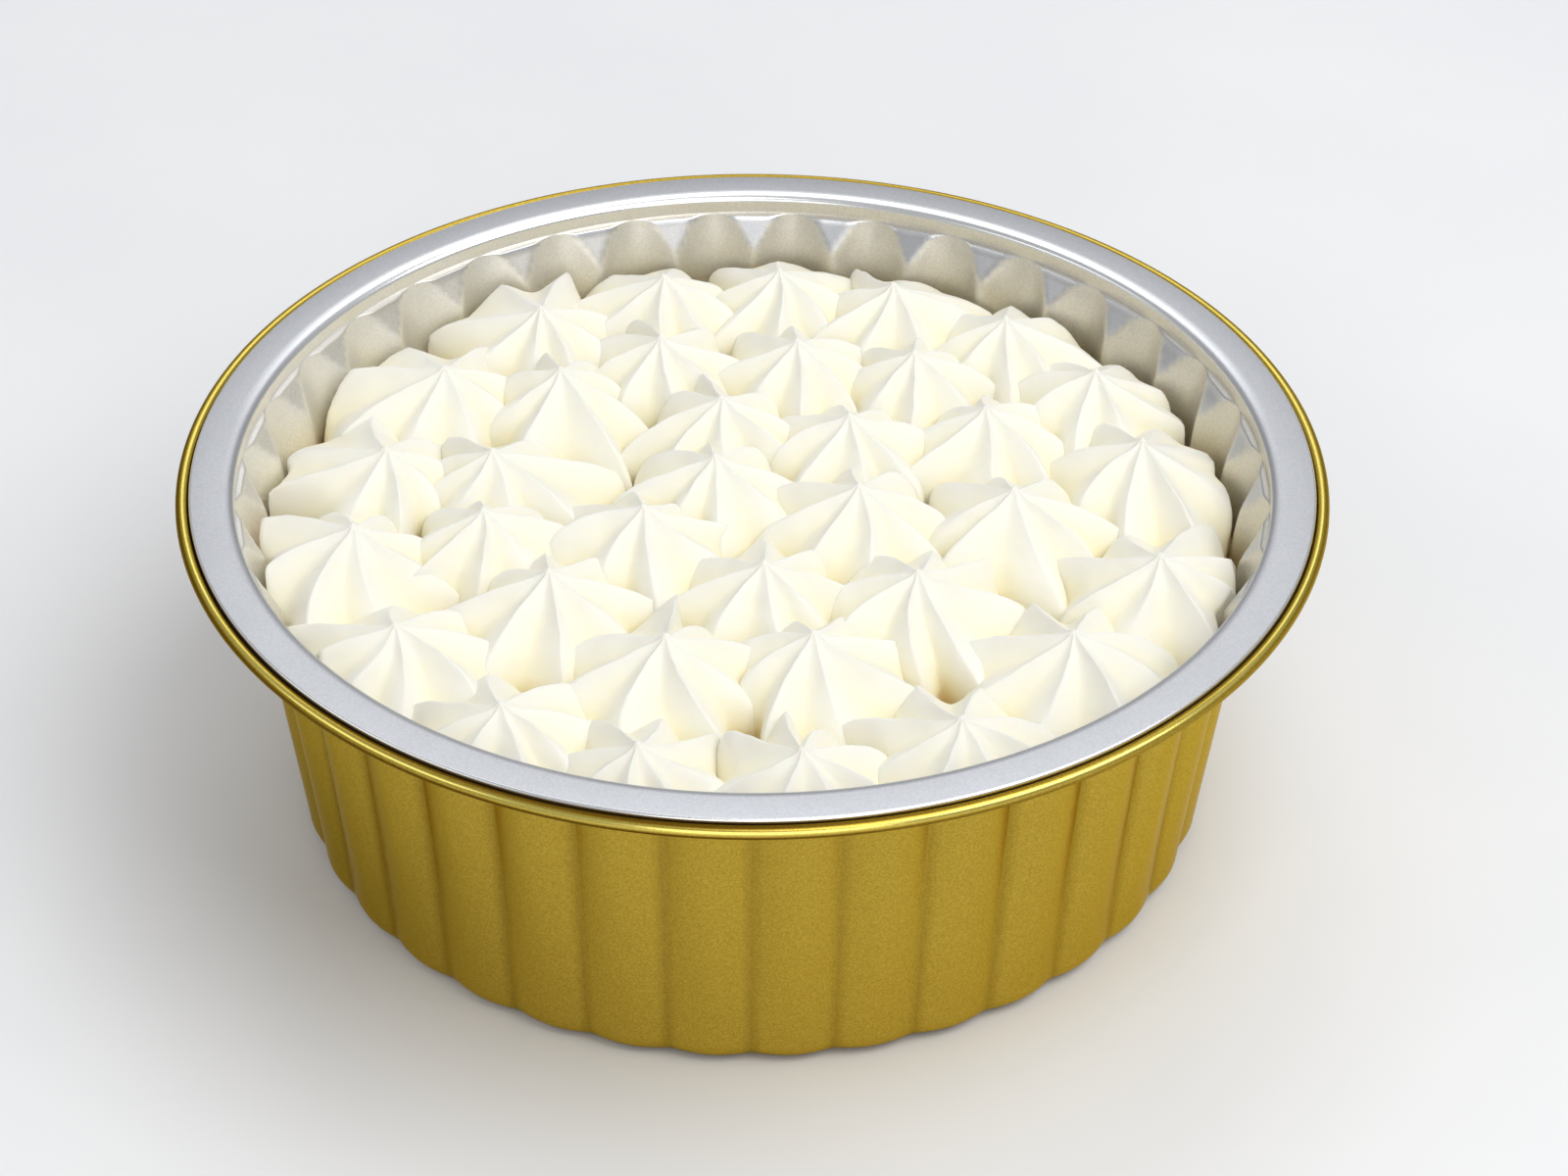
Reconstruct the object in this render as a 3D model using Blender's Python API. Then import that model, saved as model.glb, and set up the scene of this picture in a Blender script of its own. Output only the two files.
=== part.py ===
"""Cake in its fluted foil tin, covered with piped cream stars.

Metres, +Z up. The origin is the middle of the tin's underside.
The front of the cake, as it is usually looked at, faces -Y.
"""
import math
import random

import bmesh
import bpy

# Tin: one pressed sheet, with a fluted wall, a plain band, a flat flange and a rolled bead.
BEAD_OUTER_RADIUS = 0.1000
BEAD_TUBE_RADIUS = 0.00115
BEAD_HEIGHT = 0.0658
FLANGE_TOP = 0.0671
FLANGE_OUTER_RADIUS = 0.0966
FLANGE_INNER_RADIUS = 0.0912
FILLET_HEIGHT = 0.0013
LIP_RADIUS = 0.0971
LIP_ROUNDING = 0.0004
NOTCH_RADIUS = 0.0976
NOTCH_DEPTH = 0.0012
LIP_FOOT_RADIUS = 0.0970
LIP_FOOT_DEPTH = 0.0022
SHEET = 0.0007
WALL_RADIUS_AT_FLOOR = 0.0808
WALL_TAPER = 0.1314
CORNER_RADIUS = 0.0050
BAND_BOTTOM = 0.0645

# Flutes: wide outward lobes between narrow inward grooves, deeper towards the top.
FLUTES = 36
COLUMNS_PER_FLUTE = 4
GROOVE_DEPTH_LOW = 0.0018
GROOVE_DEPTH_HIGH = 0.0036
SHOULDER_SLOPE = 0.53
SHOULDER_LEAST = 0.0006

# Cake: fills the tin up to the cream.
CAKE_TOP = 0.0470
GAP = 0.0003

# Cream stars: eight sharp ridges each, gently sloped at first and steep at the end.
STAR_TOP = 0.0640
RIDGES = 8
RIDGE_SLOPE = 0.26
SLOPE_UNEVENNESS = 0.08
VALLEY_SLOPE = 0.58
REACH_UNEVENNESS = 0.08
ANGLE_UNEVENNESS = 5.0
TWIST = 8.0
BEND_UNEVENNESS = 5.0
# How square the end of a ridge and of a valley is: the power of a superellipse.
RIDGE_SQUARENESS = 8.0
VALLEY_SQUARENESS = 3.0
# A ridge reaches a little past the line half-way to its neighbours, as far as there is room.
FILL = 1.22
VALLEY_FILL = 1.04
VALLEY_REACH = 0.84
LEAST_VALLEY = 0.0100
LEAST_REACH = 0.0135
MOST_REACH = 0.0205
# Stars beyond this distance from the middle lean on the wall, and at the back they droop against it.
WALL_STAR_DISTANCE = 0.060
BACK_DROOP = 0.30
FOOT_SHARE = 0.93
RING_SHARES = (0.34, 0.62, 0.84, 0.97)

# Angle round the cake (degrees), distance from its middle (mm) and turn of the ridges (degrees).
OUTER_RING = [
    (104, 69.6, -10), (86, 70.1, 5), (68, 70.0, -17), (49, 70.9, 0), (30, 71.8, 18), (11, 70.4, -17),
    (-17, 72.8, -18), (-39, 68.9, -13), (-63, 75.0, -13), (-84, 75.4, -13), (-104, 76.0, 25),
    (-123, 75.4, 20), (-145, 72.7, 20), (-169, 70.0, 14), (171, 65.5, 20), (147, 66.6, 25), (125, 68.8, -8),
]
MIDDLE_RING = [
    (110, 49.6, 5), (80, 46.4, 4), (55, 51.3, 3), (30, 48.1, 4), (-2, 45.5, 8), (-43, 38.3, -22),
    (-77, 44.7, 14), (-108, 46.9, 12), (-143, 43.4, 10), (-170, 47.3, 5), (168, 46.9, 22), (134, 50.2, -15),
]
INNER_RING = [(102, 27.5, 0), (51, 27.4, 5), (-2, 18.5, 13), (-85, 23.8, 2), (-159, 20.3, 4)]
CENTRE = [(129, 10.6, 5)]

COLUMNS = FLUTES * COLUMNS_PER_FLUTE
HALF_COLUMNS = COLUMNS // 2


def clear_scene():
    for old in list(bpy.data.objects):
        bpy.data.objects.remove(old, do_unlink=True)


def make_material(name, color, metallic, roughness):
    material = bpy.data.materials.new(name)
    material.use_nodes = True
    shader = material.node_tree.nodes["Principled BSDF"]
    shader.inputs["Base Color"].default_value = (*color, 1.0)
    shader.inputs["Metallic"].default_value = metallic
    shader.inputs["Roughness"].default_value = roughness
    return material


def add_object(name, bm, material, collection, sharp_degrees):
    """Turns a closed bmesh into a named object of the collection."""
    bmesh.ops.recalc_face_normals(bm, faces=bm.faces)
    mesh = bpy.data.meshes.new(name)
    bm.to_mesh(mesh)
    bm.free()
    mesh.materials.append(material)
    mesh.shade_smooth()
    mesh.set_sharp_from_angle(angle=math.radians(sharp_degrees))
    obj = bpy.data.objects.new(name, mesh)
    collection.objects.link(obj)
    return obj


def add_ring(bm, points):
    """One closed ring of vertices, from (radius, height) for each evenly spaced angle."""
    ring = []
    for index, (radius, height) in enumerate(points):
        angle = 2 * math.pi * index / len(points)
        ring.append(bm.verts.new((radius * math.cos(angle), radius * math.sin(angle), height)))
    return ring


def join_rings(bm, lower, upper):
    """Closes the strip between two rings, whose counts are equal or two to one."""
    if len(lower) < len(upper):
        lower, upper = upper, lower
    count = len(upper)
    if len(lower) == count:
        for k in range(count):
            n = (k + 1) % count
            bm.faces.new((lower[k], lower[n], upper[n]))
            bm.faces.new((lower[k], upper[n], upper[k]))
        return
    for k in range(count):
        n = (k + 1) % count
        first, middle, last = lower[2 * k], lower[2 * k + 1], lower[2 * n]
        bm.faces.new((first, middle, upper[k]))
        bm.faces.new((middle, upper[n], upper[k]))
        bm.faces.new((middle, last, upper[n]))


def close_ring(bm, ring, pole_position):
    """A fan from a pole to a ring."""
    pole = bm.verts.new(pole_position)
    for k in range(len(ring)):
        bm.faces.new((ring[k], ring[(k + 1) % len(ring)], pole))


def groove_share(column, columns_per_flute):
    """1 in a groove, 0 on a lobe's crest, and a round arch between."""
    place = (column % columns_per_flute) / columns_per_flute
    return (2 * place - 1) ** 2


def crest_radius(height):
    return WALL_RADIUS_AT_FLOOR + WALL_TAPER * height


def groove_depth(height):
    share = (height - CORNER_RADIUS) / (BAND_BOTTOM - CORNER_RADIUS)
    return GROOVE_DEPTH_LOW + (GROOVE_DEPTH_HIGH - GROOVE_DEPTH_LOW) * share


def wall_radius(height, groove):
    return crest_radius(height) - groove_depth(height) * groove


def corner_ring(degrees, inset, columns, columns_per_flute):
    """A ring on the rounded corner between floor and wall; 0 is the floor's edge and 90 the wall's foot."""
    angle = math.radians(degrees)
    rounding = CORNER_RADIUS - inset
    points = []
    for column in range(columns):
        centre = wall_radius(CORNER_RADIUS, groove_share(column, columns_per_flute)) - CORNER_RADIUS
        points.append((centre + rounding * math.sin(angle), CORNER_RADIUS - rounding * math.cos(angle)))
    return points


def shoulder_ring(inset):
    """Where each column of the fluted wall runs out into the sloping shoulder under the plain band."""
    points = []
    for column in range(COLUMNS):
        groove = groove_share(column, COLUMNS_PER_FLUTE)
        fall = groove * GROOVE_DEPTH_HIGH / SHOULDER_SLOPE
        height = BAND_BOTTOM - max(SHOULDER_LEAST, fall)
        points.append((wall_radius(height, groove) - inset, height))
    return points


def fillet_point(degrees, inset):
    """The turn from the plain band, at 0 degrees, to the flat flange, at 90 degrees."""
    angle = math.radians(degrees)
    width = FLANGE_INNER_RADIUS - crest_radius(BAND_BOTTOM) + inset
    lift = FILLET_HEIGHT - SHEET + inset
    return (FLANGE_INNER_RADIUS - width * math.cos(angle),
            FLANGE_TOP - FILLET_HEIGHT + lift * math.sin(angle))


def rim_section():
    """The rim's outline from the outside of the band, over the bead and flange, to the inside of the band."""
    outline = [(crest_radius(BAND_BOTTOM), BAND_BOTTOM)]
    outline += [fillet_point(degrees, 0.0) for degrees in (0, 90)]
    outline += [
        (FLANGE_OUTER_RADIUS, FLANGE_TOP - SHEET),
        (LIP_FOOT_RADIUS, FLANGE_TOP - LIP_FOOT_DEPTH),
    ]
    for degrees in (-110, -55, 0, 50, 100, 150):
        angle = math.radians(degrees)
        outline.append((BEAD_OUTER_RADIUS - BEAD_TUBE_RADIUS * (1 - math.cos(angle)),
                        BEAD_HEIGHT + BEAD_TUBE_RADIUS * math.sin(angle)))
    outline += [
        (NOTCH_RADIUS, FLANGE_TOP - NOTCH_DEPTH),
        (LIP_RADIUS, FLANGE_TOP - LIP_ROUNDING),
        (FLANGE_OUTER_RADIUS, FLANGE_TOP),
    ]
    outline += [fillet_point(degrees, SHEET) for degrees in (90, 45, 0)]
    outline.append((crest_radius(BAND_BOTTOM) - SHEET, BAND_BOTTOM))
    return outline


def build_tin(material, collection):
    bm = bmesh.new()
    rings = []
    for degrees in (0, 30, 60, 90):
        rings.append(add_ring(bm, corner_ring(degrees, 0.0, COLUMNS, COLUMNS_PER_FLUTE)))
    rings.append(add_ring(bm, shoulder_ring(0.0)))
    for point in rim_section():
        rings.append(add_ring(bm, [point] * HALF_COLUMNS))
    rings.append(add_ring(bm, shoulder_ring(SHEET)))
    for degrees in (90, 60, 30, 0):
        rings.append(add_ring(bm, corner_ring(degrees, SHEET, COLUMNS, COLUMNS_PER_FLUTE)))
    for lower, upper in zip(rings, rings[1:]):
        join_rings(bm, lower, upper)
    close_ring(bm, rings[0], (0.0, 0.0, 0.0))
    close_ring(bm, rings[-1], (0.0, 0.0, SHEET))
    return add_object("tin", bm, material, collection, 40)


def build_cake(material, collection):
    """The cake takes the tin's inner form, two columns to a flute, up to the cream."""
    bm = bmesh.new()
    inset = SHEET + GAP
    half_flute = COLUMNS_PER_FLUTE // 2
    rings = [add_ring(bm, corner_ring(degrees, inset, HALF_COLUMNS, half_flute)) for degrees in (0, 45, 90)]
    top = []
    for column in range(HALF_COLUMNS):
        top.append((wall_radius(CAKE_TOP, groove_share(column, half_flute)) - inset, CAKE_TOP))
    rings.append(add_ring(bm, top))
    for lower, upper in zip(rings, rings[1:]):
        join_rings(bm, lower, upper)
    close_ring(bm, rings[0], (0.0, 0.0, inset))
    close_ring(bm, rings[-1], (0.0, 0.0, CAKE_TOP))
    return add_object("cake", bm, material, collection, 40)


def star_places():
    """Centre and turn of every star, in metres and radians."""
    places = []
    for angle, distance, turn in OUTER_RING + MIDDLE_RING + INNER_RING + CENTRE:
        direction = math.radians(angle)
        x = distance * 0.001 * math.cos(direction)
        y = distance * 0.001 * math.sin(direction)
        places.append((x, y, math.radians(turn)))
    return places


def room_for_star(index, places, angle):
    """How far a star may run along an angle before it meets a neighbour's half or the tin's wall."""
    x, y, _ = places[index]
    along_x, along_y = math.cos(angle), math.sin(angle)
    wall = wall_radius(CAKE_TOP, 1.0) - SHEET - GAP
    ahead = x * along_x + y * along_y
    room = -ahead + math.sqrt(ahead ** 2 + wall ** 2 - x ** 2 - y ** 2)
    for other, (u, v, _) in enumerate(places):
        if other == index:
            continue
        spacing = math.hypot(u - x, v - y)
        towards = (along_x * (u - x) + along_y * (v - y)) / spacing
        if towards > 0.05:
            room = min(room, (spacing - GAP) / 2 / towards)
    return room


def star_fall(distance, reach, slope, squareness):
    """How far a star's surface lies under its tip: a slope that rounds over and drops to the cake."""
    height = STAR_TOP - CAKE_TOP - GAP
    slope_fall = min(slope * distance, height)
    share = min(distance / reach, 1.0)
    rounding = 1 - (1 - share ** squareness) ** (1 / squareness)
    return slope_fall + (height - slope_fall) * rounding


def star_ridges(index, places):
    """Angle, reach, slope and bend of each ridge, uneven from ridge to ridge."""
    rng = random.Random(index)
    x, y, turn = places[index]
    outward = math.atan2(y, x)
    ridges = []
    for k in range(RIDGES):
        uneven_angle = math.radians(rng.uniform(-ANGLE_UNEVENNESS, ANGLE_UNEVENNESS))
        angle = turn + 2 * math.pi * k / RIDGES + uneven_angle
        uneven_reach = rng.uniform(1 - REACH_UNEVENNESS, 1 + REACH_UNEVENNESS)
        slope = RIDGE_SLOPE + rng.uniform(-SLOPE_UNEVENNESS, SLOPE_UNEVENNESS)
        reach = min(max(FILL * room_for_star(index, places, angle), LEAST_REACH), MOST_REACH)
        if math.hypot(x, y) > WALL_STAR_DISTANCE:
            slope += BACK_DROOP * max(math.sin(outward), 0.0) * max(math.cos(angle - outward), 0.0) ** 2
        ridges.append([angle, reach * uneven_reach, slope])
    twist = rng.uniform(-TWIST, TWIST)
    for ridge in ridges:
        ridge.append(math.radians(twist + rng.uniform(-BEND_UNEVENNESS, BEND_UNEVENNESS)))
    return ridges


def star_columns(index, places):
    """Angle, reach, slope, bend and squareness of each ridge and of the valley after it."""
    ridges = star_ridges(index, places)
    columns = []
    for k, (angle, reach, slope, bend) in enumerate(ridges):
        next_angle, next_reach, _, next_bend = ridges[(k + 1) % RIDGES]
        columns.append((angle, reach, slope, bend, RIDGE_SQUARENESS))
        valley = angle + ((next_angle - angle) % (2 * math.pi)) / 2
        filled = max(VALLEY_FILL * room_for_star(index, places, valley), LEAST_VALLEY)
        valley_reach = min(VALLEY_REACH * min(reach, next_reach), filled)
        columns.append((valley, valley_reach, VALLEY_SLOPE, (bend + next_bend) / 2, VALLEY_SQUARENESS))
    return columns


def build_star(index, places, material, collection):
    bm = bmesh.new()
    x, y, _ = places[index]
    foot = CAKE_TOP + GAP
    whole = RING_SHARES[-1]
    columns = []
    for angle, reach, slope, bend, squareness in star_columns(index, places):
        end = min(reach * whole, room_for_star(index, places, angle + bend))
        columns.append((angle, reach, slope, bend, squareness, end))
    rings = []
    for share in RING_SHARES:
        ring = []
        for angle, reach, slope, bend, squareness, end in columns:
            out = end * share / whole
            turned = angle + bend * (share / whole) ** 1.5
            height = STAR_TOP - star_fall(out, reach, slope, squareness)
            ring.append(bm.verts.new((x + out * math.cos(turned), y + out * math.sin(turned), height)))
        rings.append(ring)
    base = []
    for angle, _, _, bend, _, end in columns:
        out = end * FOOT_SHARE
        base.append(bm.verts.new((x + out * math.cos(angle + bend), y + out * math.sin(angle + bend), foot)))
    rings.append(base)
    for lower, upper in zip(rings, rings[1:]):
        join_rings(bm, lower, upper)
    close_ring(bm, rings[0], (x, y, STAR_TOP))
    close_ring(bm, rings[-1], (x, y, foot))
    return add_object(f"star_{index + 1:02d}", bm, material, collection, 20)


def main():
    clear_scene()
    collection = bpy.data.collections.new("cake_in_tin")
    bpy.context.scene.collection.children.link(collection)
    foil = make_material("gold_foil", (0.52, 0.40, 0.10), 0.9, 0.35)
    sponge = make_material("sponge", (0.80, 0.55, 0.22), 0.0, 0.9)
    cream = make_material("cream", (0.95, 0.92, 0.82), 0.0, 0.5)
    build_tin(foil, collection)
    build_cake(sponge, collection)
    places = star_places()
    for index in range(len(places)):
        build_star(index, places, cream, collection)


main()
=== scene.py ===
"""The looks of the cake in its foil tin: fine foil, piped cream stars, sponge, light and camera.

Metres, +Z up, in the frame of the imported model; the front faces -Y.
"""
import math
import random

import bpy
import numpy as np
from mathutils import Matrix, Vector, noise


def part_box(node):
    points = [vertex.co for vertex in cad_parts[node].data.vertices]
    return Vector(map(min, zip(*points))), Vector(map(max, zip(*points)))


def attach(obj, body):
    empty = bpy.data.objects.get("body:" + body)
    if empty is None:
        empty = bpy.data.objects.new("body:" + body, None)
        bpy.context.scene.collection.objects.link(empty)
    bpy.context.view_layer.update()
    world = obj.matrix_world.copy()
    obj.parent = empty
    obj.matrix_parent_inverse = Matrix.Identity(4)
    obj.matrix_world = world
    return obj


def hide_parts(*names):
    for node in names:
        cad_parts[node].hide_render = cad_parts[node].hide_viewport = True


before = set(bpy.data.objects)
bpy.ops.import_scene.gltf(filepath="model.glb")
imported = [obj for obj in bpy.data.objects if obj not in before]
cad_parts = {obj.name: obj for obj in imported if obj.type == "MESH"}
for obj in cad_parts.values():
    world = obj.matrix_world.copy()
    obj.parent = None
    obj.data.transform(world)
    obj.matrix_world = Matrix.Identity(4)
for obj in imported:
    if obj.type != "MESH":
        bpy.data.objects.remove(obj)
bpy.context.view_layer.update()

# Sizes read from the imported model.
tin_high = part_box("tin")[1]
BEAD_OUTER_RADIUS = tin_high.x
FLANGE_TOP = tin_high.z
CAKE_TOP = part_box("cake")[1].z
STAR_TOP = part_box("star_01")[1].z
STAR_HEIGHT = STAR_TOP - CAKE_TOP

# Directions round the tin, in degrees.
RIGHT = 0
BACK_RIGHT = 50
BACK = 90
LEFT = 180
FRONT = 270

# Tin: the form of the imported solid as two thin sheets, each as thick as FOIL, with the foil's low relief.
# The faces of the sheets are inset from the tin's outside.
FOIL = 0.00014
GOLD_INSET = FOIL
GOLD_FILLET_INSET = FOIL * 0.8
SILVER_OUTER_INSET = FOIL * 1.05
SILVER_INNER_INSET = FOIL * 2
FLANGE_UNDERSIDE = FLANGE_TOP - FOIL * 2
FLANGE_OUTER_RADIUS = 0.0972
FLANGE_INNER_RADIUS = 0.0920
FILLET_HEIGHT = 0.0008
LIP_RADIUS = 0.0977
LIP_TOP = FLANGE_TOP - 0.0008
LIP_BOTTOM = FLANGE_TOP - 0.0016
BEAD_TUBE_RADIUS = 0.00115
BEAD_TUBE_CENTRE = BEAD_OUTER_RADIUS - BEAD_TUBE_RADIUS
BEAD_HEIGHT = FLANGE_TOP - 0.00155
WALL_RADIUS_AT_FLOOR = 0.0808
WALL_TAPER = 0.1314
CORNER_RADIUS = 0.0050
BAND_BOTTOM = 0.0635
# The wall flares a little just under the plain band, and the shoulders start with a narrow ledge.
FLARE_BOTTOM = 0.0520
FLARE = 0.0011
LEDGE = 0.0009
LEDGE_HEIGHT = 0.0004

# Flutes: round lobes that meet in grooves, which run out in sloping shoulders under the plain band.
FLUTES = 36
GROOVE_DEPTH_LOW = 0.0011
GROOVE_DEPTH_HIGH = 0.0036
GROOVE_ROUNDING = 0.06
SHOULDER_SLOPE = 0.627
CREASE = 0.00012

# Rows and columns of the foil's mesh: shares of the floor, turns in degrees and heights.
FLUTE_COLUMNS = 16
FLOOR_SHARES = (0.01, 0.30, 0.55, 0.75, 0.88, 0.95)
CORNER_TURNS = np.linspace(0, 84, 9)
WALL_HEIGHTS = np.concatenate([
    np.linspace(CORNER_RADIUS, 0.0530, 9), np.linspace(0.0545, 0.0630, 18),
    np.linspace(0.0631, BAND_BOTTOM, 6), np.linspace(0.0637, 0.0655, 4),
])
FILLET_TURNS = np.linspace(0, 90, 9)
FLANGE_RADII = (FLANGE_INNER_RADIUS + 0.0002, FLANGE_INNER_RADIUS + 0.0007)
LIP_TURNS = np.linspace(90, 0, 7)
BEAD_TURNS = np.linspace(-125, 165, 27)
# From this height up the sheets also lie above each other, as on the ledge.
STACKED_FROM = 0.0625
# Radius and height of the lacquered sheet's rows between flange and bead, on its outer and inner face.
BEAD_NECK_OUTSIDE = [
    (FLANGE_OUTER_RADIUS - 0.0004, FLANGE_UNDERSIDE),
    (LIP_RADIUS - 0.0003, LIP_TOP),
    (LIP_RADIUS - 0.0001, LIP_BOTTOM - 0.0003),
]
BEAD_NECK_INSIDE = [
    (LIP_RADIUS + 0.0002, LIP_BOTTOM),
    (LIP_RADIUS + 0.0001, LIP_BOTTOM + 0.0003),
    (FLANGE_OUTER_RADIUS - 0.0003, FLANGE_TOP - FOIL * 1.3),
]

# The foils' looks lie on a scale that their meshes carry as the attribute "depth". It holds painted
# reflections on the bare wall, lit and shaded, the plain foil, painted glints, and painted dark lines and
# shade on the gold.
LIT_WALL_REFLECTION = 0.0
SHADED_WALL_REFLECTION = 0.2
PLAIN = 0.5
PAINTED_GLINT = 1.0
PAINTED_SHADE = 0.0

# Looks of the foils: place on the scale, dark colour, light colour and roughness.
SILVER_LOOKS = [
    (LIT_WALL_REFLECTION, (0.85, 0.83, 0.78), (0.93, 0.91, 0.87), 0.47),
    (SHADED_WALL_REFLECTION, (0.65, 0.62, 0.55), (0.73, 0.70, 0.63), 0.47),
    (PLAIN, (0.54, 0.55, 0.575), (0.60, 0.61, 0.635), 0.39),
    (PAINTED_GLINT, (0.93, 0.94, 0.95), (0.97, 0.98, 0.99), 0.25),
]
GOLD_LOOKS = [
    (PAINTED_SHADE, (0.10, 0.05, 0.004), (0.14, 0.07, 0.006), 0.35),
    (PLAIN, (0.44, 0.300, 0.036), (0.57, 0.395, 0.055), 0.31),
    (PAINTED_GLINT, (0.97, 0.80, 0.17), (1.0, 0.86, 0.24), 0.18),
]
# Tints where the foils turn away.
SILVER_EDGE = (1.0, 1.0, 1.0)
GOLD_EDGE = (0.94, 0.82, 0.48)

# Silver foil: how softly the wall's painted reflection turns to shoulder, how much the shoulders fade into
# the wall's painted reflection on the left, how far the painted highlights on fillet and ledge reach, and
# how much painted light brightens the flange at the sides.
SHOULDER_EDGE = 0.0004
SHOULDER_FADE = 0.8
FLANGE_BOTTOM = FLANGE_TOP - FILLET_HEIGHT * 1.2
FILLET_END = FLANGE_INNER_RADIUS + 0.0003
LEDGE_GLOW = 2.5 * LEDGE_HEIGHT
PAINTED_SIDE_LIGHT = 0.07

# Gold foil: where the bead's painted glint lies in its section and how wide it and the space up to the
# painted dark lines of shade are, in degrees, and how much less dark these are on the right.
GLINT_TURN_AT_BACK = 102
GLINT_TURN_IN_FRONT = 30
GLINT_SHIFT_POWER = 1.4
GLINT_WIDTH = 18
LIT_BELOW = 45
LIT_ABOVE = 44
DARK_SOFTNESS = 20
DARK_FADE = 0.6
# Painted shade on the gold wall in its creases, on the left and where it turns under.
CREASE_SHADE = 0.15
CREASE_START = 0.66
CREASE_SOFTNESS = 0.2
LEFT_SHADE = 0.17
FOOT_SHADE = 0.5
FOOT_SHADE_TOP = 0.0014
FOOT_SHADE_SOFTNESS = 0.0009

# Cream stars: slopes of ridges and valleys, and how much less steep the valleys are towards their ends.
RIDGES = 8
RIDGE_SLOPE = 0.26
VALLEY_SLOPE = 0.56
VALLEY_EASE = 0.16
# How far ridges and valleys reach, as shares of the free room; a valley stays shorter than its ridges.
FILL = 1.32
VALLEY_FILL = 1.12
VALLEY_REACH = 0.86
LEAST_REACH = 0.0135
MOST_REACH = 0.0250
LEAST_VALLEY_REACH = 0.010
# How much the petals differ: their place and bend and the star's twist (degrees), their reach and slope.
PLACE_SPREAD = 5
TWIST_SPREAD = 13
BEND_SPREAD = 10
REACH_SPREAD = (0.92, 1.08)
SLOPE_SPREAD = 0.08
# How square the ends of ridges and valleys are: the power of a superellipse.
RIDGE_SQUARENESS = (2.6, 4.8)
VALLEY_SQUARENESS = 3.0
# How far the thin ridges swell to round lobes, which starts at a share of their reach.
ROUNDNESS = (0.25, 0.95)
SWELL_START = 0.25
SWELL_WIDTH = 0.60
BLADE_POWER = 1.8
LOBE_WAVE = 0.72
BEND_POWER = 1.5
TIP_HEIGHT = 0.0012
TIP_WIDTH = 0.0008
# The sides draw in a little at the foot, which stands just inside the sponge.
FOOT_SHARE = 0.97
FOOT_HEIGHT = CAKE_TOP - 0.0002

# Stars at the wall: radius that they spread to, and how softly wall and grooves hold the cream back.
OUTER_STARS_FROM = 0.06
WALL_ROOM = 0.0866
WALL_SOFTNESS = 0.0006
GROOVE_SOFTNESS = 0.0004
# The share by which the cream is held back isn't worked out nearer to the tin's middle than this.
LEAST_DISTANCE = 0.0001
# The gap between cream and foil in the grooves, and how far the cream is pressed out into the lobes: at
# the back and how much more elsewhere.
CREAM_GAP = 0.0003
LOBE_FILL = 0.55
MORE_FILL = 0.40
# Extra slope of the petals that lean on the wall at the back, and how much less steep the others are.
BACK_DROOP = 0.22
WALL_LEVEL = 0.14
# How much the valleys of those others are filled up.
WALL_FULLNESS = 0.55

# Rows and columns of a star's mesh; the side starts at a share of the reach.
HALF_SPAN_COLUMNS = 10
SPAN_CROWDING = 1.25
TOP_ROWS = 22
SIDE_ROWS = 20
SIDE_START = 0.90
# Fine unevenness of the cream: seed of its noise, cycles per metre and size, and the noise's step from
# one star to the next.
CREAM_SEED = 1
CREAM_NOISE = ((260, 0.00022), (900, 0.00005))
NOISE_STEP_X = 0.37
NOISE_STEP_Y = 0.71
# Painted warm shade: how much warmer the cream is painted down in the valleys and towards the foot.
PAINTED_VALLEY_WARMTH = 0.45
VALLEY_WARMTH_RISE = 2.2
PAINTED_FOOT_WARMTH = 0.8

MILLIMETRE = 0.001
# Angle round the cake (degrees), distance from its middle (mm) and turn of the ridges (degrees).
OUTER_RING = [
    (104, 69.6, -10), (86, 70.1, 5), (68, 70.0, -17), (49, 70.9, 0), (30, 71.8, 18), (11, 70.4, -17),
    (-17, 72.8, -18), (-39, 68.9, -13), (-63, 75.0, -13), (-84, 75.4, -13), (-104, 76.0, 25),
    (-123, 75.4, 20), (-145, 72.7, 20), (-169, 70.0, 14), (171, 65.5, 20), (147, 66.6, 25),
    (125, 68.8, -8),
]
MIDDLE_RING = [
    (110, 49.6, 5), (80, 46.4, 4), (55, 51.3, 3), (30, 48.1, 4), (-2, 45.5, 8), (-43, 38.3, -22),
    (-77, 44.7, 14), (-108, 46.9, 12), (-143, 43.4, 10), (-170, 47.3, 5), (168, 46.9, 22),
    (134, 50.2, -15),
]
INNER_RING = [(102, 27.5, 0), (51, 27.4, 5), (-2, 18.5, 13), (-85, 23.8, 2), (-159, 20.3, 4)]
CENTRE = [(129, 10.6, 5)]

# Petals that stand out: for a star, its ridges with their turn (degrees), slope and roundness.
PETALS = {
    10: {3: (-17, 0.14, 1.0), 4: (-17, 0.08, 1.2)},
    11: {2: (0, 0.12, 1.1)},
    18: {2: (8, 0.04, 0.0)},
    25: {2: (-17, 0.10, 0.6)},
    28: {2: (20, 0.10, 1.1), 3: (15, 0.15, 1.0)},
    29: {3: (-13, 0.10, 1.2)},
    30: {2: (18, 0.10, 0.9)},
    34: {4: (-15, 0.12, 1.1)},
}

# Sponge: gap to the tin's outside, top under the cream, heights of the rows down its side, and shares of
# the radius where the rows of its top and its underside lie.
SPONGE_GAP = FOIL * 4
SPONGE_TOP = CAKE_TOP - 0.0006
SPONGE_SIDE = (CAKE_TOP - 0.0015, CAKE_TOP - 0.006, 0.03, 0.012, CORNER_RADIUS)
SPONGE_TOP_SHARES = np.linspace(0.01, 0.985, 90)
SPONGE_FOOT_SHARES = (1.0, 0.01)
SPONGE_COLUMNS = FLUTES * 8
# Its rough crumb: cycles per metre and size.
CRUMB_NOISE = ((180, 0.0006), (700, 0.0004))

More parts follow.
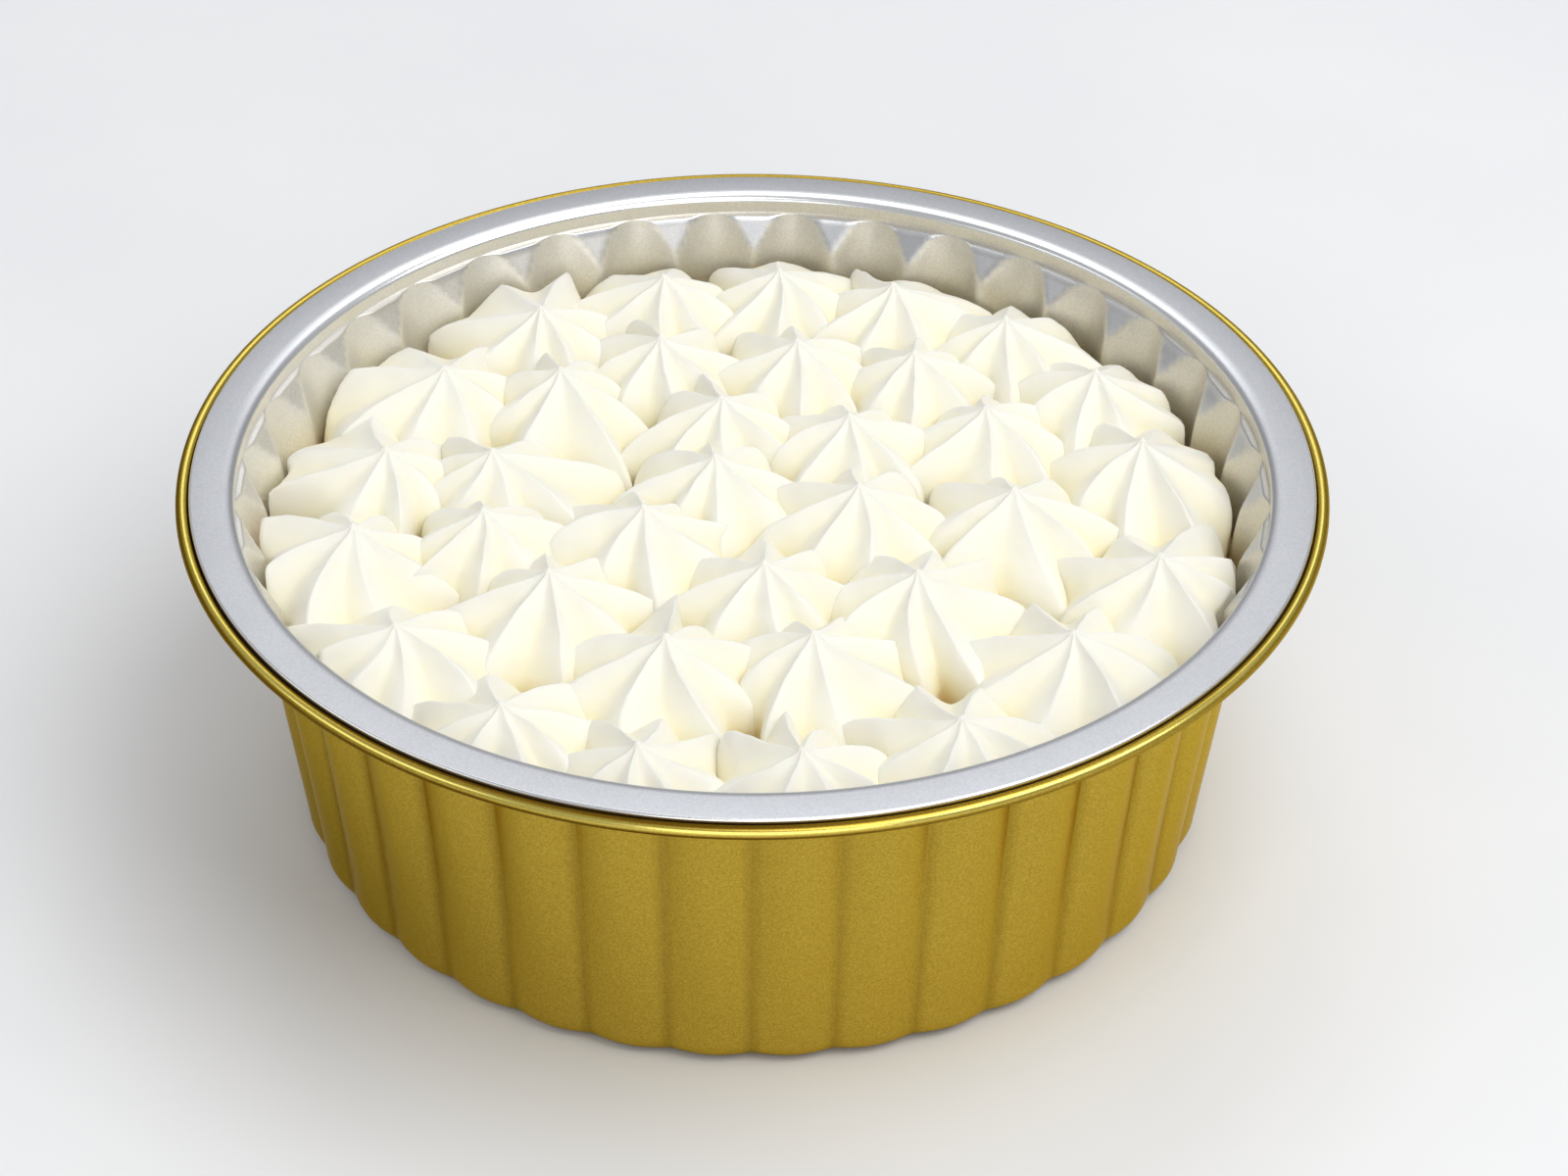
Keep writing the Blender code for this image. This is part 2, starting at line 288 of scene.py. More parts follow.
# Area lights, all aimed at the cake: name, place, size, power in watts and colour.
LIGHT_TARGET = (0, 0, 0.05)
WARM_WHITE = (1.0, 0.99, 0.97)
COOL_WHITE = (0.97, 0.98, 1.0)
LIGHTS = [
    ("key", (0.65, -0.35, 1.4), (1.3, 1.3), 14.7, WARM_WHITE),
    ("back", (0.0, 1.65, 2.1), (1.6, 1.6), 10.0, COOL_WHITE),
    ("front", (0.1, -1.8, 0.8), (1.4, 1.4), 7.6, WARM_WHITE),
    ("left", (-1.7, -0.4, 1.25), (1.6, 0.7), 3.3, WARM_WHITE),
]
WORLD_STRENGTH = 0.40
FLOOR_SIZE = 6.0

# Camera, as it stood for the photograph; its angles are in degrees.
IMAGE_WIDTH = 1600
FOCAL_PIXELS = 4432
SENSOR_WIDTH = 36.0
CAMERA_DISTANCE = 0.6227
CAMERA_HEIGHT = 0.4961
CAMERA_PITCH = 36.19
CAMERA_YAW = 0.51
CAMERA_ROLL = 0.44


# Materials

def new_material(name):
    material = bpy.data.materials.new(name)
    material.use_nodes = True
    tree = material.node_tree
    return material, tree, tree.nodes["Principled BSDF"]


def set_inputs(node, values):
    for name, value in values.items():
        node.inputs[name].default_value = value


def add_node(tree, kind, values):
    node = tree.nodes.new(kind)
    set_inputs(node, values)
    return node


def color_input(mix, letter):
    """The colour socket of a mix node, which has one socket of each letter for every data type."""
    return next(i for i in mix.inputs if i.name == letter and i.type == "RGBA")


def color_output(mix):
    return next(o for o in mix.outputs if o.type == "RGBA")


def object_noise(tree, scale, detail, roughness=0.5):
    """Noise in object space, in cycles per metre."""
    coords = tree.nodes.new("ShaderNodeTexCoord")
    values = {"Scale": scale, "Detail": detail, "Roughness": roughness}
    texture = add_node(tree, "ShaderNodeTexNoise", values)
    tree.links.new(coords.outputs["Object"], texture.inputs["Vector"])
    return texture.outputs["Fac"]


def painted_light_attribute(tree):
    """The attribute "depth" of the mesh, which carries its painted light and shade."""
    node = tree.nodes.new("ShaderNodeAttribute")
    node.attribute_name = "depth"
    return node.outputs["Fac"]


def ramp(tree, factor, stops):
    """A colour ramp; stops are (position, (r, g, b))."""
    node = tree.nodes.new("ShaderNodeValToRGB")
    elements = node.color_ramp.elements
    while len(elements) < len(stops):
        elements.new(0.5)
    for element, (position, color) in zip(elements, stops):
        element.position = position
        element.color = (*color, 1.0)
    tree.links.new(factor, node.inputs["Fac"])
    return node.outputs["Color"]


def bump(tree, height, strength, distance):
    node = add_node(tree, "ShaderNodeBump", {"Strength": strength, "Distance": distance})
    tree.links.new(height, node.inputs["Height"])
    return node.outputs["Normal"]


def foil_material(name, looks, edge):
    """Rolled foil: satin metal with a fine grain and soft blotches in its polish, coloured along the scale
    of looks in "depth" with its painted light and shade.
    """
    material, tree, shader = new_material(name)
    set_inputs(shader, {"Metallic": 1.0, "Specular Tint": (*edge, 1.0)})
    depth = painted_light_attribute(tree)
    grain = object_noise(tree, scale=2600.0, detail=2.0)
    tint = tree.nodes.new("ShaderNodeMix")
    tint.data_type = "RGBA"
    tree.links.new(ramp(tree, grain, [(0.35, (0, 0, 0)), (0.65, (1, 1, 1))]), tint.inputs["Factor"])
    # Colours along the scale of looks, which holds painted reflections, glints and shade.
    dark = ramp(tree, depth, [(place, color) for place, color, _, _ in looks])
    light = ramp(tree, depth, [(place, color) for place, _, color, _ in looks])
    tree.links.new(dark, color_input(tint, "A"))
    tree.links.new(light, color_input(tint, "B"))
    tree.links.new(color_output(tint), shader.inputs["Base Color"])
    smooth = ramp(tree, depth, [(place, (roughness,) * 3) for place, _, _, roughness in looks])
    blotch = add_node(tree, "ShaderNodeMapRange", {"To Min": -0.05, "To Max": 0.05})
    tree.links.new(object_noise(tree, scale=45.0, detail=4.0), blotch.inputs["Value"])
    polish = tree.nodes.new("ShaderNodeMath")
    polish.operation = "ADD"
    tree.links.new(smooth, polish.inputs[0])
    tree.links.new(blotch.outputs["Result"], polish.inputs[1])
    tree.links.new(polish.outputs["Value"], shader.inputs["Roughness"])
    tree.links.new(bump(tree, grain, strength=0.07, distance=0.0001), shader.inputs["Normal"])
    return material


def cream_material():
    """Whipped cream: nearly white on the ridges, with painted warm shade down in the valleys and at the
    foot, lit through a little.
    """
    material, tree, shader = new_material("cream")
    # Painted warm shade, deeper down the valleys and towards the foot.
    tint = ramp(tree, painted_light_attribute(tree), [
        (0.0, (0.915, 0.905, 0.845)),
        (0.35, (0.93, 0.905, 0.785)),
        (0.70, (0.95, 0.89, 0.68)),
        (1.0, (0.93, 0.79, 0.46)),
    ])
    tree.links.new(tint, shader.inputs["Base Color"])
    set_inputs(shader, {
        "Roughness": 0.55,
        "Specular IOR Level": 0.25,
        "Subsurface Weight": 0.30,
        "Subsurface Radius": (1.0, 0.75, 0.45),
        "Subsurface Scale": 0.0010,
    })
    fine = object_noise(tree, scale=900.0, detail=4.0, roughness=0.6)
    tree.links.new(bump(tree, fine, strength=0.10, distance=0.0003), shader.inputs["Normal"])
    return material


def sponge_material():
    """Baked sponge: amber crumb with darker pores."""
    material, tree, shader = new_material("sponge")
    crumb = object_noise(tree, scale=700.0, detail=6.0, roughness=0.65)
    tint = ramp(tree, crumb, [
        (0.30, (0.30, 0.13, 0.03)),
        (0.50, (0.66, 0.38, 0.10)),
        (0.75, (0.88, 0.64, 0.24)),
    ])
    tree.links.new(tint, shader.inputs["Base Color"])
    set_inputs(shader, {"Roughness": 0.9, "Specular IOR Level": 0.15})
    tree.links.new(bump(tree, crumb, strength=0.8, distance=0.001), shader.inputs["Normal"])
    return material


def floor_material():
    """A pale plain floor with hardly any cloudiness."""
    material, tree, shader = new_material("floor")
    clouds = object_noise(tree, scale=12.0, detail=5.0)
    tint = ramp(tree, clouds, [(0.3, (0.86, 0.875, 0.90)), (0.7, (0.90, 0.91, 0.93))])
    tree.links.new(tint, shader.inputs["Base Color"])
    set_inputs(shader, {"Roughness": 0.6})
    return material


# Meshes

def mesh_object(name, points, faces, material, depth=None):
    """A smooth mesh object from an array of points and a list of faces."""
    mesh = bpy.data.meshes.new(name)
    mesh.from_pydata(points.tolist(), [], faces)
    mesh.shade_smooth()
    # The attribute "depth" carries the painted light and shade that the materials read.
    if depth is not None:
        values = mesh.attributes.new("depth", "FLOAT", "POINT")
        values.data.foreach_set("value", depth.astype(np.float32))
    mesh.materials.append(material)
    obj = bpy.data.objects.new(name, mesh)
    bpy.context.scene.collection.objects.link(obj)
    return obj


def grid_quads(rows, columns, close_rows):
    """Quads of a grid whose columns close on themselves; its rows close too if asked."""
    r = np.arange(rows if close_rows else rows - 1)[:, None]
    c = np.arange(columns)[None, :]
    above = (r + 1) % rows
    right = (c + 1) % columns
    corners = [r * columns + c, r * columns + right, above * columns + right, above * columns + c]
    return np.stack(corners, -1).reshape(-1, 4).tolist()


def polar_grid(rows, angles):
    """Points of a grid from rows of radii and heights, with one angle for each column."""
    radii = np.stack([row[0] for row in rows])
    heights = np.stack([row[1] for row in rows])
    return np.stack([radii * np.cos(angles), radii * np.sin(angles), heights], -1).reshape(-1, 3)


def even_angles(columns):
    """Angles of columns that go once round the tin."""
    return np.arange(columns) * 2 * math.pi / columns


def smooth_step(value):
    """0 up to 0, 1 from 1 on, and a smooth rise in between."""
    value = np.clip(value, 0.0, 1.0)
    return value * value * (3 - 2 * value)


def smooth_max(a, b, softness):
    """The greater of two values, with a rounded change from one to the other."""
    return 0.5 * (a + b + np.sqrt((a - b) ** 2 + softness ** 2))


def smooth_min(a, b, softness):
    """The lesser of two values, with the same rounded change."""
    return -smooth_max(-a, -b, softness)


def towards(direction, angles, gain=1.0, start=0.0):
    """A share of up to 1 for angles that lie towards a direction, and 0 for those away from it."""
    return np.clip(gain * np.cos(angles - math.radians(direction)) - start, 0.0, 1.0)


# Tin

def groove_share(angles):
    """1 in the middle of a groove and 0 along a lobe's crest: round lobes that meet in sharp creases."""
    place = (angles / (2 * math.pi) * FLUTES) % 1.0
    away = np.abs(place - np.round(place)) * 2
    return (1 - np.sqrt(away ** 2 + GROOVE_ROUNDING ** 2) + GROOVE_ROUNDING * away) ** 2


def crest_radius(height):
    """Radius of the wall's outside on the lobes' crests and on the plain band."""
    flare = np.clip((height - FLARE_BOTTOM) / (BAND_BOTTOM - FLARE_BOTTOM), 0.0, 1.0)
    return WALL_RADIUS_AT_FLOOR + WALL_TAPER * np.minimum(height, BAND_BOTTOM) + FLARE * flare ** 2


def flute_and_shoulder(height, groove):
    """Radius of the fluted wall and of the sloping shoulder that its grooves run out in."""
    share = (height - CORNER_RADIUS) / (BAND_BOTTOM - CORNER_RADIUS)
    depth = GROOVE_DEPTH_LOW + (GROOVE_DEPTH_HIGH - GROOVE_DEPTH_LOW) * share
    below = np.maximum(BAND_BOTTOM - height, 0.0)
    ledge = LEDGE * smooth_step(below / LEDGE_HEIGHT)
    shoulder = crest_radius(BAND_BOTTOM) - ledge - SHOULDER_SLOPE * below
    return crest_radius(height) - depth * groove, shoulder


def wall_radius(height, groove):
    """Radius of the wall's outside: flutes below, shoulders above them, and the plain band on top."""
    crest = crest_radius(height)
    blended = smooth_max(*flute_and_shoulder(height, groove), CREASE)
    return np.where(height >= BAND_BOTTOM, crest, np.minimum(blended, crest))


def level_row(radius, height, angles):
    """A round row at one radius and one height."""
    return np.full_like(angles, radius), np.full_like(angles, height)


def foil_rows(inset, angles):
    """Rows of the foil from the middle of the floor to the plain band's top, inset from the outside."""
    groove = groove_share(angles)
    foot = wall_radius(np.full_like(angles, CORNER_RADIUS), groove) - CORNER_RADIUS
    rows = [(foot * share, np.full_like(angles, inset)) for share in FLOOR_SHARES]
    rounding = CORNER_RADIUS - inset
    for degrees in CORNER_TURNS:
        turn = math.radians(degrees)
        height = CORNER_RADIUS - rounding * math.cos(turn)
        rows.append((foot + rounding * math.sin(turn), np.full_like(angles, height)))
    for height in WALL_HEIGHTS:
        level = np.full_like(angles, height)
        rows.append((wall_radius(level, groove) - inset, level + inset * (height > STACKED_FROM)))
    return rows


def fillet_rows(inset, angles):
    """The turn from the band to the flat flange."""
    width = FLANGE_INNER_RADIUS - crest_radius(BAND_BOTTOM)
    rows = []
    for degrees in FILLET_TURNS:
        turn = math.radians(degrees)
        radius = FLANGE_INNER_RADIUS - (width + inset) * math.cos(turn)
        height = FLANGE_UNDERSIDE - FILLET_HEIGHT + (FILLET_HEIGHT + inset) * math.sin(turn)
        rows.append(level_row(radius, height, angles))
    return rows


def silver_painted_light(radii, heights, angles):
    """Place of the bare foil's points on the scale of looks.

    The wall carries a painted reflection of the cream, painted lighter towards the left, and the shoulders
    and the flange are plain. The lip has a painted glint, as the fillet and the ledge do at the back, and
    painted light brightens the flange at the sides.
    """
    # Painted light: the wall's painted reflection of the cream is lighter towards the left, where the
    # shoulders fade into it.
    left = towards(LEFT, angles, start=-0.1)
    flute, slope = flute_and_shoulder(heights, groove_share(angles))
    shoulder = smooth_step((slope - flute) / SHOULDER_EDGE) * (heights < BAND_BOTTOM)
    shoulder = shoulder * (1 - SHOULDER_FADE * left)
    flange = heights > FLANGE_BOTTOM
    wall = (1 - shoulder) * (1 - flange)
    # Painted highlights on the lip and, at the back, on the fillet and the ledge; painted light on the
    # flange at the sides.
    lip = (radii > FLANGE_OUTER_RADIUS) * (heights > LIP_TOP)
    fillet = (radii < FILLET_END) * flange * towards(BACK, angles, gain=1.5, start=0.2)
    ledge = smooth_step((heights - BAND_BOTTOM + LEDGE_GLOW) / LEDGE_HEIGHT) * shoulder
    ledge = ledge * towards(BACK, angles, gain=2.5, start=1.2)
    sides = PAINTED_SIDE_LIGHT * flange * np.cos(angles) ** 2
    wall_reflection_shift = (PLAIN - SHADED_WALL_REFLECTION + (SHADED_WALL_REFLECTION - LIT_WALL_REFLECTION) * left) * wall
    return PLAIN - wall_reflection_shift + (PAINTED_GLINT - PLAIN) * np.clip(lip + fillet + ledge + sides, 0.0, 1.0)


def gold_painted_light(radii, heights, angles):
    """Place of the lacquered foil's points on the scale of looks.

    The bead has a painted glint, which turns from its top at the back to its outside in the front, and
    painted dark lines of shade beside it. The wall is plain, with painted shade in its creases, on the left
    and where it turns under.
    """
    # Painted glint along the bead, with painted dark lines of shade beside it, fainter on the right.
    turn = np.degrees(np.arctan2(heights - BEAD_HEIGHT, radii - BEAD_TUBE_CENTRE))
    glint_shift = (GLINT_TURN_IN_FRONT - GLINT_TURN_AT_BACK) * towards(FRONT, angles) ** GLINT_SHIFT_POWER
    past_glint = turn - (GLINT_TURN_AT_BACK + glint_shift)
    glint = np.exp(-(past_glint / GLINT_WIDTH) ** 2) * towards(FRONT, angles, gain=0.9, start=-0.9)
    lit_below = smooth_step((past_glint + LIT_BELOW) / DARK_SOFTNESS)
    lit_above = smooth_step((LIT_ABOVE - past_glint) / DARK_SOFTNESS)
    dark = (1 - lit_below * lit_above) * (1 - DARK_FADE * towards(RIGHT, angles, gain=1.5))
    # Painted shade on the wall: in its creases, on the left and at its foot.
    creases = CREASE_SHADE * smooth_step((groove_share(angles) - CREASE_START) / CREASE_SOFTNESS)
    left = LEFT_SHADE * towards(LEFT, angles) ** 2
    foot = FOOT_SHADE * smooth_step((FOOT_SHADE_TOP - heights) / FOOT_SHADE_SOFTNESS)
    bead_look = (PAINTED_GLINT - PLAIN) * glint - (PLAIN - PAINTED_SHADE) * dark * (1 - glint)
    wall_shade = np.maximum(creases + left, foot)
    return PLAIN + np.where(radii > LIP_RADIUS, bead_look, -wall_shade)


def closed_sheet(name, rows, angles, material, paint_light):
    """A closed ring-shaped sheet from the rows that run once round its section."""
    radii = np.stack([row[0] for row in rows])
    heights = np.stack([row[1] for row in rows])
    depth = paint_light(radii, heights, angles).ravel()
    faces = grid_quads(len(rows), len(angles), True)
    return mesh_object(name, polar_grid(rows, angles), faces, material, depth)


def silver_face(inset, lip_radius, angles):
    """Rows of one face of the bare foil, from the floor over the flange to the lip."""
    rows = foil_rows(inset, angles) + fillet_rows(inset, angles)
    top = FLANGE_UNDERSIDE + inset
    rows += [level_row(radius, top, angles) for radius in FLANGE_RADII]
    rounding = lip_radius - FLANGE_OUTER_RADIUS
    for degrees in LIP_TURNS:
        turn = math.radians(degrees)
        radius = FLANGE_OUTER_RADIUS + rounding * math.cos(turn)
        rows.append(level_row(radius, top - rounding + rounding * math.sin(turn), angles))
    rows.append(level_row(lip_radius, LIP_BOTTOM, angles))
    return rows


def silver_sheet(angles, material):
    """The foil's bare inner face, from the floor over the flange to the lip."""
    inner = silver_face(SILVER_INNER_INSET, LIP_RADIUS, angles)
    outer = silver_face(SILVER_OUTER_INSET, LIP_RADIUS - FOIL, angles)
    return closed_sheet("tin_silver_inside", inner + outer[::-1], angles, material, silver_painted_light)


def gold_sheet(angles, material):
    """The foil's lacquered outer face, from the floor under the flange to the rolled bead."""
    rows = foil_rows(0.0, angles) + fillet_rows(0.0, angles)
    rows += [level_row(radius, height, angles) for radius, height in BEAD_NECK_OUTSIDE]
    for degrees in BEAD_TURNS:
        turn = math.radians(degrees)
        radius = BEAD_TUBE_CENTRE + BEAD_TUBE_RADIUS * math.cos(turn)
        rows.append(level_row(radius, BEAD_HEIGHT + BEAD_TUBE_RADIUS * math.sin(turn), angles))
    rows += [level_row(radius, height, angles) for radius, height in BEAD_NECK_INSIDE]
    rows += (foil_rows(GOLD_INSET, angles) + fillet_rows(GOLD_FILLET_INSET, angles))[::-1]
    return closed_sheet("tin_gold_outside", rows, angles, material, gold_painted_light)


# Cream

def star_places():
    """Centre and turn of every star, in metres and radians."""
    places = []
    for angle, distance, turn in OUTER_RING + MIDDLE_RING + INNER_RING + CENTRE:
        direction = math.radians(angle)
        x = distance * MILLIMETRE * math.cos(direction)
        y = distance * MILLIMETRE * math.sin(direction)
        places.append((x, y, math.radians(turn)))
    return places


def room_to_wall(x, y, along_x, along_y):
    """How far it is from a place in the tin to the wall, along a direction."""
    ahead = x * along_x + y * along_y
    return np.sqrt(ahead ** 2 + WALL_ROOM ** 2 - x ** 2 - y ** 2) - ahead


def free_reach(index, places, angle):
    """How far a star can spread along a direction before it meets a neighbour's share or the wall."""
    x, y, _ = places[index]
    along_x, along_y = math.cos(angle), math.sin(angle)
    room = room_to_wall(x, y, along_x, along_y)
    for u, v, _ in places:
        closing = (u - x) * along_x + (v - y) * along_y
        if closing > 0:
            room = min(room, ((u - x) ** 2 + (v - y) ** 2) / 2 / closing)
    return room


def droop_share(angles):
    """1 at the back and the back right, where petals lean on the wall, and 0 in front and on the left."""
    return towards(BACK_RIGHT, angles, gain=3.2, start=1.0)


def cream_room(angles):
    """How far from the tin's middle the cream reaches: it is pressed a little way out into the lobes."""
    height = np.full_like(angles, CAKE_TOP)
    crease = wall_radius(height, np.full_like(angles, groove_share(0.0)))
    lobe = wall_radius(height, groove_share(angles))
    fill = LOBE_FILL + MORE_FILL * (1 - droop_share(angles))
    return crease + fill * (lobe - crease) - SILVER_INNER_INSET - CREAM_GAP


def star_ridges(index, places):
    """Angle, reach, slope, bend, squareness and roundness of each of a star's ridges."""
    rng = random.Random(index)
    x, y, turn = places[index]
    outward = math.atan2(y, x)
    droop = droop_share(outward)
    at_wall = math.hypot(x, y) > OUTER_STARS_FROM
    tilt = at_wall * (BACK_DROOP * droop - WALL_LEVEL * (1 - droop))
    special = PETALS.get(index + 1, {})
    ridges = []
    for k in range(RIDGES):
        shift = math.radians(rng.uniform(-PLACE_SPREAD, PLACE_SPREAD))
        angle = turn + 2 * math.pi * k / RIDGES + shift
        uneven = rng.uniform(*REACH_SPREAD)
        slope = RIDGE_SLOPE + rng.uniform(-SLOPE_SPREAD, SLOPE_SPREAD)
        if k in special:
            angle += math.radians(special[k][0])
            slope = special[k][1]
        reach = min(max(FILL * free_reach(index, places, angle), LEAST_REACH), MOST_REACH) * uneven
        slope += tilt * max(math.cos(angle - outward), 0.0) ** 2
        ridges.append([angle, reach, slope])
    twist = rng.uniform(-TWIST_SPREAD, TWIST_SPREAD)
    for ridge in ridges:
        ridge.append(math.radians(twist + rng.uniform(-BEND_SPREAD, BEND_SPREAD)))
    for k, ridge in enumerate(ridges):
        ridge.append(rng.uniform(*RIDGE_SQUARENESS))
        ridge.append(rng.uniform(*ROUNDNESS))
        if k in special:
            ridge[-1] = special[k][2]
    return np.array(ridges)


def star_valleys(index, places, ridges):
    """Reach and fullness of the valley that follows each of a star's ridges."""
    x, y, _ = places[index]
    outward = math.atan2(y, x)
    held_level = (math.hypot(x, y) > OUTER_STARS_FROM) * (1 - droop_share(outward))
    valleys = []
    for (angle, reach, *_), (next_angle, next_reach, *_) in zip(ridges, np.roll(ridges, -1, axis=0)):
        between = angle + ((next_angle - angle) % (2 * math.pi)) / 2
        full = held_level * max(math.cos(between - outward), 0.0)
        most = (VALLEY_REACH + (1 - VALLEY_REACH) * full) * min(reach, next_reach)
        free = max(VALLEY_FILL * free_reach(index, places, between), LEAST_VALLEY_REACH)
        valleys.append([min(most, free), WALL_FULLNESS * full])
    return np.array(valleys)


def span_shares():
    """Places across the span from one ridge to the next, a little crowded at the ridges."""
    half = 0.5 * (np.arange(HALF_SPAN_COLUMNS) / HALF_SPAN_COLUMNS) ** SPAN_CROWDING
    other_half = 1 - 0.5 * (np.arange(HALF_SPAN_COLUMNS, 0, -1) / HALF_SPAN_COLUMNS) ** SPAN_CROWDING
    return np.concatenate([half, other_half])


def superellipse(along, power):
    """Height of a quarter of a superellipse at a share of the way along it."""
    return (1 - along ** power) ** (1 / power)


def petal_section(power):
    """Shares of the reach and of the fall from the tip over a petal's rounded end to its foot."""
    out_top = np.linspace(0, SIDE_START, TOP_ROWS + 1)[1:, None]
    up_top = superellipse(out_top, power)
    up_side = up_top[-1] * np.linspace(1, 0, SIDE_ROWS + 1)[1:, None]
    out = np.concatenate([np.broadcast_to(out_top, up_top.shape), superellipse(up_side, power)])
    return out, 1 - np.concatenate([up_top, up_side])


def star_surface(index, places):
    """Points of a star, with rows from its tip to its foot and columns round it, and their painted warm
    shade.
    """
    x, y, _ = places[index]
    ridges = star_ridges(index, places)
    valleys = star_valleys(index, places, ridges)
    share = np.tile(span_shares(), RIDGES)
    span = np.repeat(np.arange(RIDGES), 2 * HALF_SPAN_COLUMNS)
    following = ridges[(span + 1) % RIDGES]
    following[:, 0] += np.where(span == RIDGES - 1, 2 * math.pi, 0.0)
    mixed = ridges[span] * (1 - share)[:, None] + following * share[:, None]
    angle, ridge_reach, ridge_slope, bend, ridge_power, roundness = mixed.T
    valley_reach, fullness = valleys[span].T

    across = np.minimum(share, 1 - share) * 2
    blade = 1 - (1 - across) ** BLADE_POWER
    lobe = (1 - LOBE_WAVE) * across + LOBE_WAVE * 0.5 * (1 - np.cos(math.pi * across))
    out_share, fall_share = petal_section(ridge_power + (VALLEY_SQUARENESS - ridge_power) * blade)
    swell = smooth_step((out_share - SWELL_START) / SWELL_WIDTH)
    valley = blade + (lobe - blade) * swell * roundness
    reach = ridge_reach + (valley_reach - ridge_reach) * valley
    slope = ridge_slope + (VALLEY_SLOPE - VALLEY_EASE * swell - ridge_slope) * valley * (1 - fullness)

    out = out_share * reach
    slope_fall = np.minimum(slope * out, STAR_HEIGHT)
    fall = slope_fall + (STAR_HEIGHT - slope_fall) * fall_share
    down = fall / STAR_HEIGHT
    out = out * (1 - (1 - FOOT_SHARE) * np.clip(down, 0, 1) ** 3)
    theta = angle + bend * out_share ** BEND_POWER
    along_x, along_y = np.cos(theta), np.sin(theta)
    out = smooth_min(out, room_to_wall(x, y, along_x, along_y), WALL_SOFTNESS)

    points_x, points_y = x + out * along_x, y + out * along_y
    points_z = STAR_TOP - fall + TIP_HEIGHT * (np.exp(-out / TIP_WIDTH) - 1)
    distance = np.maximum(np.hypot(points_x, points_y), LEAST_DISTANCE)
    free = cream_room(np.arctan2(points_y, points_x))
    pressed = smooth_min(distance, free, GROOVE_SOFTNESS) / distance
    points = np.stack([points_x * pressed, points_y * pressed, points_z], -1)
    # Painted warm shade down in the valleys and towards the foot.
    painted_warmth = PAINTED_VALLEY_WARMTH * valley * np.minimum(out_share * VALLEY_WARMTH_RISE, 1)
    return points, np.clip(painted_warmth + PAINTED_FOOT_WARMTH * down ** 2, 0, 1)


def roughen(points, index):
    """Adds the fine unevenness of cream, which differs from star to star."""
    offset = Vector((index * NOISE_STEP_X, index * NOISE_STEP_Y, 0.0))
    for i, point in enumerate(points):
        place = Vector(point)
        for scale, size in CREAM_NOISE:
            points[i] += np.array(noise.noise_vector(place * scale + offset)) * size


def star_faces(rows, columns):
    """Quads of a star's grid, a fan round its tip and a fan that closes its foot."""
    ring = np.arange(columns)
    after = (ring + 1) % columns
    last = (rows - 1) * columns
    tip = rows * columns
    tip_fan = np.stack([np.full(columns, tip), ring, after], -1).tolist()
    foot_fan = np.stack([np.full(columns, tip + 1), last + after, last + ring], -1).tolist()
    return [quad[::-1] for quad in grid_quads(rows, columns, False)] + tip_fan + foot_fan


def build_star(index, places, material):
    """One piped star: a fine polar mesh from the tip, over ridges and valleys, to a closed foot."""
    x, y, _ = places[index]
    points, depth = star_surface(index, places)
    rows, columns = depth.shape
    points = points.reshape(-1, 3)
    roughen(points, index)
    points[:, 2] = np.minimum(points[:, 2], STAR_TOP)
    points[-columns:, 2] = FOOT_HEIGHT
    points = np.concatenate([points, [[x, y, STAR_TOP], [x, y, FOOT_HEIGHT]]])
    depth = np.concatenate([depth.ravel(), [0.0, 1.0]])
    return mesh_object(f"cream_star_{index + 1:02d}", points, star_faces(rows, columns), material, depth)


# Sponge

def build_sponge(material):
    """The cake's body, with a rough baked top that shows between the stars."""
    angles = even_angles(SPONGE_COLUMNS)
    groove = groove_share(angles)

    def edge(height):
        return wall_radius(np.full_like(angles, height), groove) - SPONGE_GAP

    top = np.full_like(angles, SPONGE_TOP)
    rows = [(edge(CAKE_TOP) * share, top) for share in SPONGE_TOP_SHARES]
    rows += [(edge(height), np.full_like(angles, height)) for height in SPONGE_SIDE]
    foot = wall_radius(np.full_like(angles, CORNER_RADIUS), groove) - CORNER_RADIUS
    rows += [(foot * share, np.full_like(angles, SPONGE_GAP)) for share in SPONGE_FOOT_SHARES]
    points = polar_grid(rows, angles)
    for i in range(len(SPONGE_TOP_SHARES) * SPONGE_COLUMNS):
        place = Vector(points[i])
        points[i, 2] += sum(size * noise.noise(place * scale) for scale, size in CRUMB_NOISE)
    faces = [quad[::-1] for quad in grid_quads(len(rows), SPONGE_COLUMNS, True)]
    return mesh_object("sponge", points, faces, material)


# Stage

def build_stage():
    bpy.ops.mesh.primitive_plane_add(size=FLOOR_SIZE, location=(0, 0, 0))
    floor = bpy.context.object
    floor.name = "floor"
    floor.data.materials.append(floor_material())


